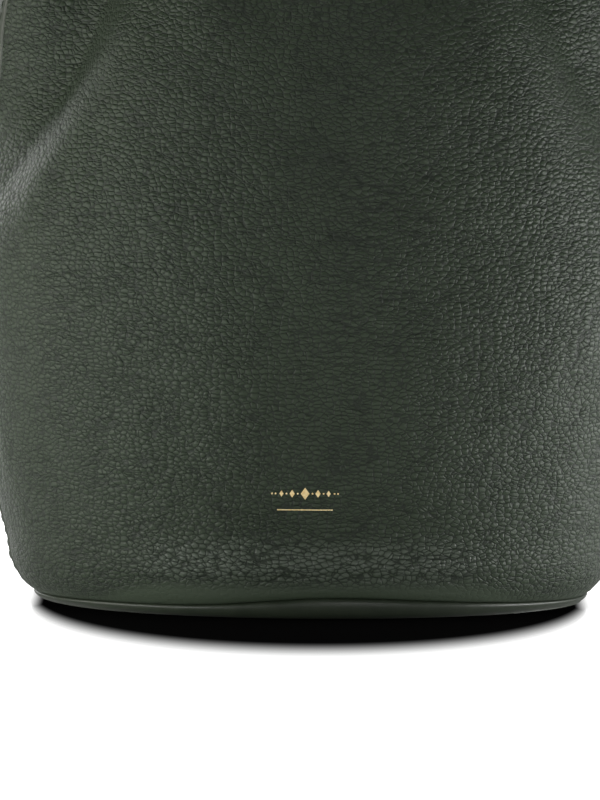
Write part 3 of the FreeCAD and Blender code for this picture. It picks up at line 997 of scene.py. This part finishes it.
# Name, place, target, size in metres, power in watts and colour.
LIGHTS = [
    ("left_softbox", (-1.3, -0.10, 0.20), (0, 0, 0.12), (0.6, 0.8), 8.3, (1.0, 0.99, 0.91)),
    ("front_softbox", (0.45, -1.95, 0.12), (0, 0, 0.08), (0.6, 0.6), 5.6, WHITE),
    ("right_softbox", (1.3, -0.18, 0.08), (0, 0, 0.06), (0.7, 0.7), 1.7, WHITE),
    ("top_softbox", (0, -0.25, 1.3), (0, 0, 0.2), (0.5, 0.5), 3.6, WHITE),
    ("top_back_softbox", (0.15, 0.75, 1.3), (0, 0, 0.25), (1.0, 0.8), 11, WHITE),
    ("back_softbox", (-0.7, 1.4, 0.5), (0, 0, 0.15), (1.0, 0.8), 12, WHITE),
    ("low_left_lamp", (-0.40, -0.30, 0.05), (0, -0.08, 0.03), (0.3, 0.14), 0.9, WHITE),
    ("low_right_lamp", (0.42, -0.04, 0.03), (0, -0.08, 0.03), (0.3, 0.14), 1.5, WHITE),
]


def make_floor():
    """Plain pale floor with the soft black pool of the bag's shadow painted into its colour and glow,
    in metres.
    """
    pool_half_width = 0.0948
    pool_shift = 0.0012
    pool_depth = 0.1555
    pool_middle = 0.0175
    reach = 6.0
    floor = bpy.data.meshes.new("floor")
    corners = [(-reach, -reach, 0), (reach, -reach, 0), (reach, reach, 0), (-reach, reach, 0)]
    floor.from_pydata(corners, [], [(0, 1, 2, 3)])
    piece = bpy.data.objects.new("floor", floor)
    bpy.context.scene.collection.objects.link(piece)
    n = Nodes("pale_floor")
    n.finish((0.9, 0.9, 0.9, 1), 0.9, Specular_IOR_Level=0.0)
    split = n.new("ShaderNodeSeparateXYZ")
    n.put(n.place, split.inputs[0])
    shifted = n.maths("ADD", split.outputs["X"], pool_shift)
    across = n.maths("DIVIDE", shifted, pool_half_width)
    left_over = n.maths("SUBTRACT", 1.0, n.maths("MULTIPLY", across, across))
    depth = n.maths("SQRT", n.maths("MAXIMUM", 0.0, left_over))
    edge = n.maths("MULTIPLY_ADD", depth, -pool_depth, -pool_middle)
    before = n.maths("SUBTRACT", edge, split.outputs["Y"])
    front = n.ramp(before, -0.034, 0.030)
    sides = n.ramp(n.maths("ABSOLUTE", across), 0.96, 1.03)
    back = n.ramp(split.outputs["Y"], 0.015, 0.065)
    pool = n.maths("MAXIMUM", front, n.maths("MAXIMUM", sides, back))
    # For light that bounces, only the part of the painted shadow close to the foot is dark.
    contact = n.ramp(before, -0.110, -0.060)
    seen = n.new("ShaderNodeLightPath").outputs["Is Camera Ray"]
    bounced = n.maths("MULTIPLY", contact, n.maths("SUBTRACT", 1.0, seen))
    clear = n.maths("MAXIMUM", pool, bounced)
    colour = n.mix(clear, (0.004, 0.004, 0.004, 1), (0.9, 0.9, 0.9, 1))
    glow = n.mix(clear, (0, 0, 0, 1), (1, 1, 1, 1))
    n.put(colour, n.shader.inputs["Base Color"])
    n.put(glow, n.shader.inputs["Emission Color"])
    n.put(n.maths("MULTIPLY_ADD", seen, 0.84, 0.16), n.shader.inputs["Emission Strength"])
    floor.materials.append(n.material)


def make_light(name, place, target, size, power, colour):
    data = bpy.data.lights.new(name, "AREA")
    data.shape = "RECTANGLE"
    data.size, data.size_y = size
    data.energy = power
    data.color = colour
    lamp = bpy.data.objects.new(name, data)
    lamp.location = place
    lamp.rotation_euler = (Vector(target) - Vector(place)).to_track_quat("-Z", "Y").to_euler()
    bpy.context.scene.collection.objects.link(lamp)


def make_world():
    """White to the eye; as light, dimmer from the camera's side than from the sides and back."""
    world = bpy.data.worlds.new("studio")
    bpy.context.scene.world = world
    world.use_nodes = True
    tree = world.node_tree
    background = tree.nodes["Background"]
    coordinates = tree.nodes.new("ShaderNodeTexCoord")
    split = tree.nodes.new("ShaderNodeSeparateXYZ")
    tree.links.new(coordinates.outputs["Generated"], split.inputs[0])
    fade = add_ramp(tree, split.outputs["Y"], (-0.6, 0.5, 0.01, 0.25))
    above = add_ramp(tree, split.outputs["Z"], (0.0, 0.7, 1.0, 0.25))
    light = tree.nodes.new("ShaderNodeMath")
    light.operation = "MULTIPLY"
    tree.links.new(fade, light.inputs[0])
    tree.links.new(above, light.inputs[1])
    path = tree.nodes.new("ShaderNodeLightPath")
    seen = tree.nodes.new("ShaderNodeMath")
    seen.operation = "MAXIMUM"
    tree.links.new(path.outputs["Is Camera Ray"], seen.inputs[0])
    tree.links.new(light.outputs[0], seen.inputs[1])
    tree.links.new(seen.outputs[0], background.inputs["Strength"])
    background.inputs["Color"].default_value = (1, 1, 1, 1)


def make_camera():
    data = bpy.data.cameras.new("camera")
    camera = bpy.data.objects.new("camera", data)
    bpy.context.scene.collection.objects.link(camera)
    distance = 2.8
    elevation = math.radians(4.7)
    roll = math.radians(0.4)
    frame_height = 0.276
    sensor_height = 36.0
    data.sensor_fit = "VERTICAL"
    data.sensor_height = sensor_height
    data.lens = sensor_height * distance / frame_height
    target = Vector((-0.0047, 0, 0.0685))
    camera.location = target + distance * Vector((0, -math.cos(elevation), math.sin(elevation)))
    camera.rotation_euler = (math.pi / 2 - elevation, 0, 0)
    camera.rotation_euler.rotate_axis("Z", roll)
    data.clip_end = 50
    bpy.context.scene.camera = camera


make_floor()
make_world()
for light in LIGHTS:
    make_light(*light)
make_camera()
bpy.context.scene.view_settings.view_transform = "Standard"
